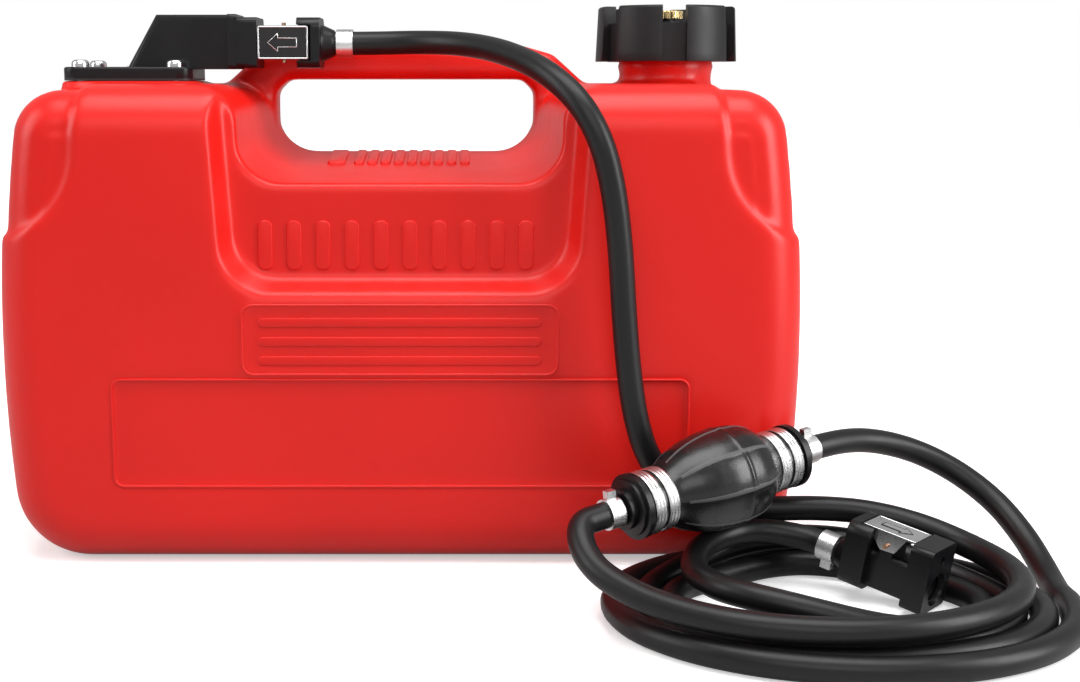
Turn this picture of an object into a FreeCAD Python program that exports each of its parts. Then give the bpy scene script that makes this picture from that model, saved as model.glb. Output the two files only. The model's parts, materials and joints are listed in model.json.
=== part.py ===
import FreeCAD, Part
import math
import os

# Portable outboard fuel tank with pickup fitting, primer bulb and fuel line, in millimetres.
# Origin at the bottom centre of the tank, +X to the filler, +Y to the rear face, +Z up.

V = FreeCAD.Vector
UP = V(0, 0, 1)

# Tank shell
TANK_LENGTH = 376.0
TANK_DEPTH = 200.0
TANK_HEIGHT = 224.0
TANK_WALL = 4.0
SIDE_BULGE_RADIUS = 750.0
SIDE_BULGE_Z = 100.0
TOP_CORNER_R = 26.0
BOTTOM_CORNER_R = 36.0
FACE_EDGE_R = 22.0

# Corner steps of the shell
STEP_DEPTH = 2.5
STEP_TOP_X = 0.5 * TANK_LENGTH - 44
STEP_MID_X = 0.5 * TANK_LENGTH - 39
STEP_MID_Z = 188.0
STEP_END_Z = 155.0

# Sunk field in each long face
FIELD_DEPTH = 12.0
FIELD_TOP_HALF = 88.0
FIELD_BOTTOM_HALF = 82.0
FIELD_BOTTOM_Z = 129.0
FIELD_SLOPE = 6.0
FIELD_CORNER_R = 22.0

# Hand opening and handle bar
HAND_HALF = 65.0
HAND_BOTTOM_Z = 190.0
HAND_TOP_Z = 226.0
HAND_CORNER_R = 20.0
HAND_TOP_CORNER_R = 6.0
MOUTH_FLARE = 11.0
MOUTH_DROP = 13.0
SHOULDER_R = 20.0
BAR_HALF_DEPTH = 12.0
BAR_HEIGHT = 18.0
BAR_ROUND = 6.0
BAR_FLAT_HALF = 55.0
BAR_ROOT_HALF = 94.0

# Label frame and lower panel
FRAME_HALF = 73.5
FRAME_BOTTOM_Z = 91.0
FRAME_TOP_Z = 125.0
FRAME_LINE = 1.8
FRAME_RISE = 0.9
FRAME_CORNER_R = 6.0
PANEL_HALF = 134.0
PANEL_BOTTOM_Z = 38.0
PANEL_TOP_Z = 90.0
PANEL_DEPTH = 1.2
PANEL_CORNER_R = 5.0

# Filler neck and cap
NECK_X = 0.5 * TANK_LENGTH - 56
NECK_OD = 46.0
NECK_BORE = 38.0
NECK_TOP_Z = 247.5
NECK_BEAD = 1.2
CAP_BOTTOM_Z = 235.0
CAP_TOP_Z = 262.0
CAP_OD = 71.0
CAP_TOP_SHRINK = 1.2
CAP_LOBES = 6
CAP_FLUTE_WIDTH = 12.0
CAP_FLUTE_DEPTH = 5.0
CAP_CROWN_DEPTH = 8.5
CAP_CROWN_WALL = 8.0
CAP_SLIDE_CLEARANCE = 0.6
GASKET_THICKNESS = 2.0
SEAT_CLEARANCE = 0.02

# Vent screw in the cap
VENT_STEM_D = 5.0
VENT_HUB_RISE = 1.2
VENT_HEAD_D = 17.0
VENT_HEAD_HEIGHT = 4.0
VENT_GROOVES = 30
VENT_SEAL_OD = 9.0
VENT_SEAL_THICKNESS = 1.4
VENT_STEM_LENGTH = 7.0
RUNNING_CLEARANCE = 0.08
JOINT_GAP = 0.3

# Pickup fitting on the tank
PICKUP_X = 56 - 0.5 * TANK_LENGTH
PICKUP_Y = -27.0
PAD_HEIGHT = 1.5
PAD_MARGIN = 1.5
GASKET_PLATE = 1.0
FLANGE_LENGTH = 62.0
FLANGE_WIDTH = 48.0
FLANGE_THICKNESS = 5.5
FLANGE_CORNER_R = 7.0
HOOD_WIDTH = 24.0
HOOD_TOP_Z = 257.0
HOOD_LEFT_FOOT = PICKUP_X - 2
HOOD_LEFT_TOP = PICKUP_X + 12.4
HOOD_RIGHT = PICKUP_X + 48
HOOD_UNDER_Z = 231.0
COLLAR_THICKNESS = 4.0
COLLAR_FRONT_Y = -45.5
COLLAR_BACK_Y = -14.5
SCREW_SPACING_X = 45.5
SCREW_SPACING_Y = 37.0
SCREW_D = 4.0
SCREW_HEAD_D = 8.5
SCREW_HEAD_HEIGHT = 3.4
SCREW_LENGTH = 12.0
PICKUP_BORE = 6.0
PICKUP_TUBE_OD = 9.0
STRAINER_OD = 16.0
STRAINER_HEIGHT = 14.0
STRAINER_FLOOR_GAP = 3.0
OUTLET_Y = -26.0
OUTLET_Z = 243.5

# Male outlet spigot and guide peg
SPIGOT_OD = 10.6
SPIGOT_LENGTH = 12.0
SPIGOT_TIP_D = 4.0
SPIGOT_TIP_LENGTH = 5.0
PEG_D = 4.0
PEG_GROOVE_D = 1.6
PEG_REACH = 10.7

# Quick connector, own frame: x along the port, z to the latch, origin at the port mouth
CON_LENGTH = 40.0
CON_WIDTH = 24.0
CON_BELOW = 9.6
CON_ABOVE = 19.6
CON_ROUND = 2.5
NOSE_LENGTH = 10.0
REAR_LENGTH = 11.0
WAIST_TOP = 9.0
WAIST_INSET = 1.0
WAIST_HALF = 6.8
PORT_D = 11.0
PORT_MOUTH_D = 15.0
PORT_MOUTH_DEPTH = 1.5
PORT_DEPTH = 14.0
SEAL_OD = 14.0
SEAL_WIDTH = 2.2
SEAL_FIT = 0.05
BALL_D = 7.0
BALL_CHAMBER_D = 7.6
BALL_CHAMBER_LENGTH = 14.0
BALL_SEAT_D = 5.6
PIN_HOLE_D = 4.4
PIN_HOLE_RISE = 13.2
CONE_LENGTH = 6.0
CONE_D = 14.0
BALL_SPRING_WIRE = 0.7
BALL_SPRING_D = 5.2
BALL_SPRING_TURNS = 3

# Latch of the quick connector
LATCH_LENGTH = 24.5
LATCH_WIDTH = 16.0
LATCH_SHEET = 0.8
LATCH_Z = 18.9
LATCH_SIDE_DROP = 7.5
LATCH_PIN_D = 2.0
LATCH_PIN_X = -22.5
LATCH_PIN_Z = 13.5
LIP_FRONT_X = -8.3
LIP_LOW_Z = 14.3
TONGUE_LOW_Z = 15.5
TONGUE_HALF = 5.0
SLOT_TOP_Z = 18.3
LATCH_ARROW_RISE = 0.3
LATCH_SPRING_D = 4.0
LATCH_SPRING_WIRE = 0.6
LATCH_SPRING_TURNS = 3
LATCH_SPRING_X = -29.5

# Hose
HOSE_D = 11.5
CLAMP_LENGTH = 8.0
CLAMP_SHEET = 1.0
CLAMP_EAR = 3.5
HOSE_REST_Z = 0.5 * HOSE_D

# Primer bulb, own frame: x from the inlet hose face to the outlet hose face
BULB_INLET = V(88.5, -165.7, 43.5)
BULB_OUTLET = V(190.5, -105.7, 58.8)
BULB_MAX_R = 22.8
BULB_NECK_R = 13.5
BULB_WALL = 3.0
BULB_SEAM_WIDTH = 2.4
BULB_SEAM_RISE = 0.3
BAND_WIDTH = 5.2
BAND_SHEET = 1.0
BAND_GAP = 2.0
FITTING_FLANGE_R = 14.5
FITTING_STEM_R = 9.0
FITTING_BORE = 5.0
NECK_LENGTH = 15.0
VALVE_D = 9.0
VALVE_THICKNESS = 1.6

# Fuel line coil lying on the floor
COIL_CENTRE_X = 186.5
COIL_CENTRE_Y = -170.0
COIL_HALF_X = 100.5
COIL_HALF_Y = 78.0
COIL_PITCH = 12.3
COIL_BACK_DRAW = 5.0
COIL_BACK_LIFT = 10.3
COIL_TURNS = 3.5
COIL_STEPS_PER_TURN = 12
COIL_END_LIFT = 13.2
BACK_HALF_ANGLE = 75.0


# Basic solids


def box(x0, x1, y0, y1, z0, z1):
    return Part.makeBox(x1 - x0, y1 - y0, z1 - z0, V(x0, y0, z0))


def rod(radius, start, end):
    axis = end - start
    return Part.makeCylinder(radius, axis.Length, start, axis)


def ring(outer_r, inner_r, start, end):
    return rod(outer_r, start, end).cut(rod(inner_r, start, end))


def extrude(points, direction):
    """Prism of the closed polygon through points."""
    wire = Part.makePolygon(points + [points[0]])
    return Part.Face(wire).extrude(direction)


def edges_along(shape, direction):
    found = []
    for edge in shape.Edges:
        if edge.Curve.TypeId == "Part::GeomLine":
            if abs(abs(edge.Curve.Direction.dot(direction)) - 1.0) < 1e-6:
                found.append(edge)
    return found


def soft_box(x0, x1, y0, y1, z0, z1, radius, direction):
    """Box whose four edges along direction are rounded."""
    block = box(x0, x1, y0, y1, z0, z1)
    return block.makeFillet(radius, edges_along(block, direction))


def revolve_x(profile):
    """Solid of revolution about the X axis from (x, r) pairs on a closed profile."""
    points = [V(x, r, 0) for x, r in profile]
    wire = Part.makePolygon(points + [points[0]])
    return Part.Face(wire).revolve(V(0, 0, 0), V(1, 0, 0), 360)


def placed(shape, origin, x_axis, z_axis):
    """Copy of a shape moved from its own frame to origin with the given axes."""
    x_dir = V(x_axis).normalize()
    y_dir = V(z_axis).cross(x_dir).normalize()
    z_dir = x_dir.cross(y_dir)
    matrix = FreeCAD.Matrix(
        x_dir.x, y_dir.x, z_dir.x, origin.x,
        x_dir.y, y_dir.y, z_dir.y, origin.y,
        x_dir.z, y_dir.z, z_dir.z, origin.z,
        0, 0, 0, 1)
    moved = shape.copy()
    moved.Placement = FreeCAD.Placement(matrix).multiply(shape.Placement)
    return moved


def fuse_all(shapes):
    whole = shapes[0]
    for shape in shapes[1:]:
        whole = whole.fuse(shape)
    return whole.removeSplitter()


# Tank body


def side_x(z, inset):
    """Half length of the shell outline at height z."""
    centre = 0.5 * TANK_LENGTH - SIDE_BULGE_RADIUS
    radius = SIDE_BULGE_RADIUS - inset
    return centre + math.sqrt(radius ** 2 - (z - SIDE_BULGE_Z) ** 2)


def tank_block(inset):
    """Rounded block of the shell, each surface moved in by inset."""
    low = inset
    high = TANK_HEIGHT - inset
    half_depth = 0.5 * TANK_DEPTH - inset
    y = -half_depth
    low_x = side_x(low, inset)
    mid_x = side_x(SIDE_BULGE_Z, inset)
    high_x = side_x(high, inset)
    outline = Part.Wire([
        Part.LineSegment(V(-low_x, y, low), V(low_x, y, low)).toShape(),
        Part.Arc(V(low_x, y, low), V(mid_x, y, SIDE_BULGE_Z), V(high_x, y, high)).toShape(),
        Part.LineSegment(V(high_x, y, high), V(-high_x, y, high)).toShape(),
        Part.Arc(V(-high_x, y, high), V(-mid_x, y, SIDE_BULGE_Z), V(-low_x, y, low)).toShape()])
    block = Part.Face(outline).extrude(V(0, 2 * half_depth, 0))
    long_edges = edges_along(block, V(0, 1, 0))
    top_edges = [edge for edge in long_edges if edge.CenterOfMass.z > SIDE_BULGE_Z]
    bottom_edges = [edge for edge in long_edges if edge.CenterOfMass.z < SIDE_BULGE_Z]
    block = block.makeFillet(TOP_CORNER_R - inset, top_edges)
    block = block.makeFillet(BOTTOM_CORNER_R - inset, [
        edge for edge in edges_along(block, V(0, 1, 0))
        if min(abs(edge.CenterOfMass.x - bottom.CenterOfMass.x) for bottom in bottom_edges) < 1e-3
        and edge.CenterOfMass.z < low + 1e-3])
    rim = [edge for edge in block.Edges
           if abs(abs(edge.CenterOfMass.y) - half_depth) < 1e-3]
    return block.makeFillet(FACE_EDGE_R - inset, rim)


def corner_region(side):
    """Prism over one upper corner of the shell, bounded by the step line."""
    far = 0.5 * TANK_LENGTH + 10
    top = TANK_HEIGHT + 10
    y = -0.5 * TANK_DEPTH - 5
    line_end = V(side * far, y, STEP_END_Z)
    knee = V(side * STEP_MID_X, y, STEP_MID_Z)
    bend = V(side * (STEP_MID_X + 14), y, STEP_END_Z + 9)
    outline = Part.Wire([
        Part.LineSegment(V(side * STEP_TOP_X, y, top), knee).toShape(),
        Part.Arc(knee, bend, line_end).toShape(),
        Part.LineSegment(line_end, V(side * far, y, top)).toShape(),
        Part.LineSegment(V(side * far, y, top), V(side * STEP_TOP_X, y, top)).toShape()])
    return Part.Face(outline).extrude(V(0, TANK_DEPTH + 10, 0))


def field_outline(y, inset, grow):
    """Closed outline of the sunk field at depth y, inset from its mouth, grown by a wall."""
    top = TANK_HEIGHT + 30
    low = FIELD_BOTTOM_Z + inset - grow
    slope = (FIELD_TOP_HALF - FIELD_BOTTOM_HALF) / (TANK_HEIGHT - FIELD_BOTTOM_Z)
    low_half = FIELD_BOTTOM_HALF - inset + grow
    top_half = low_half + slope * (top - low)
    return rounded_trough(y, low, low_half, top, top_half, FIELD_CORNER_R)


def rounded_trough(y, low, low_half, top, top_half, radius):
    """Closed trough outline, open corners at the top and rounded ones at the bottom."""
    flank = V(top_half - low_half, 0, top - low).normalize()
    turn = math.acos(flank.x)
    reach = radius / math.tan(0.5 * (math.pi - turn))
    corner = V(low_half, y, low)
    start = corner - V(reach, 0, 0)
    end = corner + flank * reach
    centre = start + V(0, 0, radius)
    middle = centre + (corner - centre).normalize() * radius

    def mirror(point):
        return V(-point.x, point.y, point.z)

    top_right = V(top_half, y, top)
    return Part.Wire([
        Part.LineSegment(mirror(start), start).toShape(),
        Part.Arc(start, middle, end).toShape(),
        Part.LineSegment(end, top_right).toShape(),
        Part.LineSegment(top_right, mirror(top_right)).toShape(),
        Part.LineSegment(mirror(top_right), mirror(end)).toShape(),
        Part.Arc(mirror(end), mirror(middle), mirror(start)).toShape()])


def field_tool(side, grow):
    """Solid that sinks the field into one long face."""
    face_y = side * 0.5 * TANK_DEPTH
    floor_y = side * (0.5 * TANK_DEPTH - FIELD_DEPTH - grow)
    out_y = side * (0.5 * TANK_DEPTH + FIELD_DEPTH)
    outer = field_outline(out_y, -FIELD_SLOPE, grow)
    middle = field_outline(face_y, 0, grow)
    inner = field_outline(floor_y, FIELD_SLOPE, grow)
    return Part.makeLoft([outer, middle, inner], True, True)


def mouth_tool(side, grow):
    """Flared half of the hand opening, open at the top, from the mid plane outwards."""
    top = TANK_HEIGHT + 30
    half_depth = 0.5 * TANK_DEPTH
    inner = rounded_trough(0, HAND_BOTTOM_Z - grow, HAND_HALF + grow, top,
                           HAND_HALF + grow + 1.5, HAND_CORNER_R)
    outer = rounded_trough(side * half_depth, HAND_BOTTOM_Z - MOUTH_DROP - grow,
                           HAND_HALF + MOUTH_FLARE + grow, top,
                           HAND_HALF + MOUTH_FLARE + grow + 1.5, HAND_CORNER_R)
    return Part.makeLoft([inner, outer], True, True)


def shoulder_section(y, half, grow):
    """Closed outline above a shoulder that rolls into the hand opening at depth y."""
    turn_x = half + SHOULDER_R
    turn_z = TANK_HEIGHT - SHOULDER_R
    radius = SHOULDER_R - grow
    high = TANK_HEIGHT + 8
    near = V(turn_x - radius, y, turn_z)
    top = V(turn_x, y, turn_z + radius)
    middle = V(turn_x - radius * math.sqrt(0.5), y, turn_z + radius * math.sqrt(0.5))
    return Part.Wire([
        Part.Arc(near, middle, top).toShape(),
        Part.LineSegment(top, V(turn_x, y, high)).toShape(),
        Part.LineSegment(V(turn_x, y, high), V(half - 8, y, high)).toShape(),
        Part.LineSegment(V(half - 8, y, high), V(half - 8, y, turn_z)).toShape(),
        Part.LineSegment(V(half - 8, y, turn_z), near).toShape()])


def shoulder_tool(side, grow):
    """Rolls both upper edges of one half of the hand opening."""
    half_depth = 0.5 * TANK_DEPTH
    right = Part.makeLoft([shoulder_section(0, HAND_HALF, grow),
                           shoulder_section(side * half_depth, HAND_HALF + MOUTH_FLARE, grow)],
                          True, True)
    return right.fuse(right.mirror(V(0, 0, 0), V(1, 0, 0)))


def handle_bar():
    """Bar over the hand opening with sloped roots."""
    top = HAND_TOP_Z + BAR_HEIGHT
    y = -BAR_HALF_DEPTH
    shoulder = 0.5 * (BAR_FLAT_HALF + BAR_ROOT_HALF)
    right = [V(HAND_HALF - HAND_TOP_CORNER_R, y, HAND_TOP_Z),
             V(HAND_HALF, y, HAND_TOP_Z - HAND_TOP_CORNER_R),
             V(HAND_HALF, y, TANK_HEIGHT - 24),
             V(BAR_ROOT_HALF - 6, y, TANK_HEIGHT - 24),
             V(BAR_ROOT_HALF, y, TANK_HEIGHT - 3),
             V(shoulder, y, top - 5.5),
             V(BAR_FLAT_HALF, y, top)]
    left = [V(-point.x, point.y, point.z) for point in reversed(right)]
    bar = extrude(right + left, V(0, 2 * BAR_HALF_DEPTH, 0))
    rim = [edge for edge in bar.Edges
           if abs(abs(edge.CenterOfMass.y) - BAR_HALF_DEPTH) < 1e-3
           and edge.CenterOfMass.z > TANK_HEIGHT - 23]
    return bar.makeFillet(BAR_ROUND, rim)


def framed_plate(half, low, high, y0, y1, radius):
    return soft_box(-half, half, min(y0, y1), max(y0, y1), low, high, radius, V(0, 1, 0))


def make_tank_body():
    wall = TANK_WALL
    shell = tank_block(0)
    skin = shell.cut(tank_block(STEP_DEPTH))
    for side in (-1, 1):
        shell = shell.cut(skin.common(corner_region(side)))
    cavity = tank_block(wall)
    for side in (-1, 1):
        shell = shell.cut(field_tool(side, 0))
        shell = shell.cut(mouth_tool(side, 0))
        shell = shell.cut(shoulder_tool(side, 0))
        cavity = cavity.cut(field_tool(side, wall))
        cavity = cavity.cut(mouth_tool(side, wall))
        cavity = cavity.cut(shoulder_tool(side, wall))
    neck_low = V(NECK_X, 0, TANK_HEIGHT - wall - 1)
    neck_high = V(NECK_X, 0, NECK_TOP_Z)
    neck = rod(0.5 * NECK_OD, neck_low, neck_high)
    bead_z = CAP_BOTTOM_Z - 1.5
    bead = rod(0.5 * NECK_OD + NECK_BEAD, V(NECK_X, 0, bead_z - 2), V(NECK_X, 0, bead_z))
    pad = soft_box(PICKUP_X - 0.5 * FLANGE_LENGTH - PAD_MARGIN,
                   PICKUP_X + 0.5 * FLANGE_LENGTH + PAD_MARGIN,
                   PICKUP_Y - 0.5 * FLANGE_WIDTH - PAD_MARGIN,
                   PICKUP_Y + 0.5 * FLANGE_WIDTH + PAD_MARGIN,
                   TANK_HEIGHT - wall, TANK_HEIGHT + PAD_HEIGHT,
                   FLANGE_CORNER_R + PAD_MARGIN, UP)
    bosses = [rod(0.5 * SCREW_D + 2.5, V(x, y, TANK_HEIGHT - SCREW_LENGTH - 2),
                  V(x, y, TANK_HEIGHT)) for x, y in screw_places()]
    body = shell.cut(cavity)
    body = fuse_all([body, neck, bead, pad, handle_bar()] + bosses)
    front = -0.5 * TANK_DEPTH
    frame = framed_plate(FRAME_HALF, FRAME_BOTTOM_Z, FRAME_TOP_Z, front - FRAME_RISE,
                         front + 1, FRAME_CORNER_R)
    frame = frame.cut(framed_plate(FRAME_HALF - FRAME_LINE, FRAME_BOTTOM_Z + FRAME_LINE,
                                   FRAME_TOP_Z - FRAME_LINE, front - 5, front + 5,
                                   FRAME_CORNER_R - FRAME_LINE))
    body = body.fuse(frame)
    for side in (-1, 1):
        face = side * 0.5 * TANK_DEPTH
        body = body.cut(framed_plate(PANEL_HALF, PANEL_BOTTOM_Z, PANEL_TOP_Z,
                                     face - side * PANEL_DEPTH, face + side * 5,
                                     PANEL_CORNER_R))
    body = body.cut(rod(0.5 * NECK_BORE, neck_low - V(0, 0, 2), neck_high + V(0, 0, 1)))
    for x, y in screw_places():
        body = body.cut(rod(0.5 * SCREW_D, V(x, y, screw_tip_z()), V(x, y, TANK_HEIGHT + 5)))
    hole_r = 0.5 * PICKUP_TUBE_OD + 1
    body = body.cut(rod(hole_r, V(PICKUP_X, PICKUP_Y, TANK_HEIGHT - 2 * wall),
                        V(PICKUP_X, PICKUP_Y, TANK_HEIGHT + 5)))
    return body.removeSplitter()


# Filler cap and vent


def make_filler_cap():
    radius = 0.5 * CAP_OD
    height = CAP_TOP_Z - CAP_BOTTOM_Z
    cap = Part.makeCone(radius, radius - CAP_TOP_SHRINK, height, V(NECK_X, 0, CAP_BOTTOM_Z))
    rims = [edge for edge in cap.Edges
            if edge.Curve.TypeId == "Part::GeomCircle" and edge.CenterOfMass.z > CAP_BOTTOM_Z + 1]
    cap = cap.makeFillet(1.5, rims)
    for index in range(CAP_LOBES):
        angle = math.radians(-90 + index * 360 / CAP_LOBES)
        out = V(math.cos(angle), math.sin(angle), 0)
        flute = box(radius - CAP_FLUTE_DEPTH, radius + 5, -0.5 * CAP_FLUTE_WIDTH,
                    0.5 * CAP_FLUTE_WIDTH, -1, height + 1)
        cap = cap.cut(placed(flute, V(NECK_X, 0, CAP_BOTTOM_Z), out, UP))
        slot = box(0, radius + 5, -0.5 * CAP_FLUTE_WIDTH, 0.5 * CAP_FLUTE_WIDTH,
                   height - CAP_CROWN_DEPTH, height + 1)
        cap = cap.cut(placed(slot, V(NECK_X, 0, CAP_BOTTOM_Z), out, UP))
    crown_floor = CAP_TOP_Z - CAP_CROWN_DEPTH
    crown = rod(radius - CAP_CROWN_WALL, V(NECK_X, 0, crown_floor), V(NECK_X, 0, CAP_TOP_Z + 1))
    cap = cap.cut(crown)
    seat_z = NECK_TOP_Z + GASKET_THICKNESS + SEAT_CLEARANCE
    bore_r = 0.5 * NECK_OD + CAP_SLIDE_CLEARANCE
    cap = cap.cut(rod(bore_r, V(NECK_X, 0, CAP_BOTTOM_Z - 1), V(NECK_X, 0, seat_z)))
    hub = rod(0.5 * VENT_SEAL_OD + 2, V(NECK_X, 0, seat_z), V(NECK_X, 0, hub_top_z()))
    cap = cap.fuse(hub)
    stem_r = 0.5 * VENT_STEM_D + RUNNING_CLEARANCE
    cap = cap.cut(rod(stem_r, V(NECK_X, 0, seat_z - 5), V(NECK_X, 0, hub_top_z() + 5)))
    return cap.removeSplitter()


def hub_top_z():
    return CAP_TOP_Z - CAP_CROWN_DEPTH + VENT_HUB_RISE


def make_cap_gasket():
    low = V(NECK_X, 0, NECK_TOP_Z + 0.5 * SEAT_CLEARANCE)
    high = low + V(0, 0, GASKET_THICKNESS)
    return ring(0.5 * NECK_OD, 0.5 * NECK_BORE + 1, low, high)


def make_vent_seal():
    low = V(NECK_X, 0, hub_top_z() + SEAT_CLEARANCE)
    high = low + V(0, 0, VENT_SEAL_THICKNESS)
    return ring(0.5 * VENT_SEAL_OD, 0.5 * VENT_STEM_D + RUNNING_CLEARANCE, low, high)


def make_vent_screw():
    head_z = hub_top_z() + VENT_SEAL_THICKNESS + 2 * SEAT_CLEARANCE
    low = V(NECK_X, 0, head_z)
    head = rod(0.5 * VENT_HEAD_D, low, low + V(0, 0, VENT_HEAD_HEIGHT))
    circles = [edge for edge in head.Edges if edge.Curve.TypeId == "Part::GeomCircle"]
    head = head.makeFillet(0.6, circles)
    groove = rod(0.45, V(0.5 * VENT_HEAD_D + 0.1, 0, -1),
                 V(0.5 * VENT_HEAD_D + 0.1, 0, VENT_HEAD_HEIGHT + 1))
    for index in range(VENT_GROOVES):
        angle = 2 * math.pi * index / VENT_GROOVES
        out = V(math.cos(angle), math.sin(angle), 0)
        head = head.cut(placed(groove, low, out, UP))
    stem = rod(0.5 * VENT_STEM_D, low - V(0, 0, VENT_STEM_LENGTH), low + V(0, 0, 1))
    return head.fuse(stem).removeSplitter()


# Pickup fitting


def screw_places():
    return [(PICKUP_X + sx * 0.5 * SCREW_SPACING_X, PICKUP_Y + sy * 0.5 * SCREW_SPACING_Y)
            for sx in (-1, 1) for sy in (-1, 1)]


def pad_top_z():
    return TANK_HEIGHT + PAD_HEIGHT


def flange_low_z():
    return pad_top_z() + GASKET_PLATE


def flange_top_z():
    return flange_low_z() + FLANGE_THICKNESS


def screw_tip_z():
    return flange_top_z() - SCREW_LENGTH


def flange_plate(low, high):
    return soft_box(PICKUP_X - 0.5 * FLANGE_LENGTH, PICKUP_X + 0.5 * FLANGE_LENGTH,
                    PICKUP_Y - 0.5 * FLANGE_WIDTH, PICKUP_Y + 0.5 * FLANGE_WIDTH,
                    low, high, FLANGE_CORNER_R, UP)


def pickup_holes(shape, screw_r):
    for x, y in screw_places():
        shape = shape.cut(rod(screw_r, V(x, y, TANK_HEIGHT - 20), V(x, y, HOOD_TOP_Z)))
    return shape


def make_pickup_gasket():
    plate = pickup_holes(flange_plate(pad_top_z(), flange_low_z()), 0.5 * SCREW_D)
    bore = rod(0.5 * PICKUP_TUBE_OD, V(PICKUP_X, PICKUP_Y, TANK_HEIGHT),
               V(PICKUP_X, PICKUP_Y, HOOD_TOP_Z))
    return plate.cut(bore)


def make_pickup_housing():
    flange = flange_plate(flange_low_z(), flange_top_z())
    top_rim = [edge for edge in flange.Edges
               if abs(edge.CenterOfMass.z - flange_top_z()) < 1e-3]
    flange = flange.makeFillet(1.2, top_rim)
    flange = pickup_holes(flange, 0.5 * SCREW_D)
    y = OUTLET_Y - 0.5 * HOOD_WIDTH
    low = flange_low_z() + 1
    hood = extrude([V(HOOD_LEFT_FOOT - 3, y, low), V(HOOD_LEFT_FOOT, y, flange_top_z()),
                    V(HOOD_LEFT_TOP, y, HOOD_TOP_Z), V(HOOD_RIGHT, y, HOOD_TOP_Z),
                    V(HOOD_RIGHT, y, HOOD_UNDER_Z),
                    V(PICKUP_X + 0.5 * FLANGE_LENGTH - 4, y, HOOD_UNDER_Z),
                    V(PICKUP_X + 0.5 * FLANGE_LENGTH - 4, y, low)], V(0, HOOD_WIDTH, 0))
    rim = [edge for edge in hood.Edges
           if edge.CenterOfMass.z > flange_top_z() + 2
           and abs(abs(edge.CenterOfMass.y - OUTLET_Y) - 0.5 * HOOD_WIDTH) < 1e-3
           and edge.CenterOfMass.x < HOOD_RIGHT - 1]
    hood = hood.makeFillet(3.0, rim)
    collar_end = V(HOOD_RIGHT + COLLAR_THICKNESS, OUTLET_Y, OUTLET_Z)
    collar = soft_box(HOOD_RIGHT, collar_end.x, COLLAR_FRONT_Y, COLLAR_BACK_Y, HOOD_UNDER_Z,
                      HOOD_TOP_Z, 2.0, V(1, 0, 0))
    housing = fuse_all([flange, hood, collar])
    riser = rod(0.5 * PICKUP_TUBE_OD, V(PICKUP_X, PICKUP_Y, flange_low_z() - 1),
                V(PICKUP_X, PICKUP_Y, flange_low_z() + 6))
    duct = rod(0.5 * PICKUP_BORE, V(PICKUP_X, PICKUP_Y, flange_low_z()),
               V(PICKUP_X, PICKUP_Y, OUTLET_Z))
    elbow = rod(0.5 * PICKUP_BORE, V(PICKUP_X, OUTLET_Y, OUTLET_Z), collar_end)
    socket = rod(0.5 * SPIGOT_OD, collar_end - V(SPIGOT_LENGTH - 4, 0, 0),
                 collar_end + V(1, 0, 0))
    corner = Part.makeSphere(0.5 * PICKUP_BORE, V(PICKUP_X, OUTLET_Y, OUTLET_Z))
    for tool in (riser, duct, elbow, socket, corner):
        housing = housing.cut(tool)
    return housing.fuse(guide_peg()).removeSplitter()


def guide_peg():
    """Peg of the housing that enters the guide hole, with a groove for the latch lip."""
    y = OUTLET_Y - PIN_HOLE_RISE
    start = V(HOOD_RIGHT + COLLAR_THICKNESS - 1, y, OUTLET_Z)
    end = V(TANK_CON_ORIGIN.x + PEG_REACH, y, OUTLET_Z)
    peg = rod(0.5 * PEG_D, start, end)
    groove_x = TANK_CON_ORIGIN.x - LIP_FRONT_X - 0.4
    groove = ring(PEG_D, 0.5 * PEG_GROOVE_D, V(groove_x, y, OUTLET_Z),
                  V(groove_x + LATCH_SHEET + 0.9, y, OUTLET_Z))
    return peg.cut(groove)


def make_outlet_spigot():
    """Hollow male spigot, held in the housing and reaching into the connector port."""
    collar_x = HOOD_RIGHT + COLLAR_THICKNESS
    start = V(collar_x - SPIGOT_LENGTH + 4, OUTLET_Y, OUTLET_Z)
    mouth = V(collar_x + SPIGOT_LENGTH, OUTLET_Y, OUTLET_Z)
    tip = mouth + V(SPIGOT_TIP_LENGTH, 0, 0)
    spigot = rod(0.5 * SPIGOT_OD, start, mouth).fuse(rod(0.5 * SPIGOT_TIP_D, mouth, tip))
    bore = rod(1.4, start - V(1, 0, 0), mouth - V(2, 0, 0))
    cross = rod(1.0, mouth - V(3.5, 6, 0), mouth - V(3.5, -6, 0))
    return spigot.cut(bore).cut(cross).removeSplitter()


def make_pickup_screws():
    screws = []
    for x, y in screw_places():
        seat = V(x, y, flange_top_z())
        head = rod(0.5 * SCREW_HEAD_D, seat, seat + V(0, 0, SCREW_HEAD_HEIGHT))
        top = [edge for edge in head.Edges
               if edge.Curve.TypeId == "Part::GeomCircle" and edge.CenterOfMass.z > seat.z + 1]
        head = head.makeFillet(0.6 * SCREW_HEAD_HEIGHT, top)
        stem = rod(0.5 * SCREW_D, V(x, y, screw_tip_z()), seat + V(0, 0, 0.5))
        screw = head.fuse(stem)
        high = seat.z + SCREW_HEAD_HEIGHT
        for dx, dy in ((2.2, 0.5), (0.5, 2.2)):
            screw = screw.cut(box(x - dx, x + dx, y - dy, y + dy, high - 1.6, high + 1))
        screws.append(screw.removeSplitter())
    return Part.makeCompound(screws)


def make_pickup_tube():
    top = V(PICKUP_X, PICKUP_Y, flange_low_z() + 6)
    bottom = V(PICKUP_X, PICKUP_Y, strainer_low_z() + 2)
    return ring(0.5 * PICKUP_TUBE_OD, 0.5 * PICKUP_BORE, bottom, top)


def strainer_low_z():
    return TANK_WALL + STRAINER_FLOOR_GAP


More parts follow.
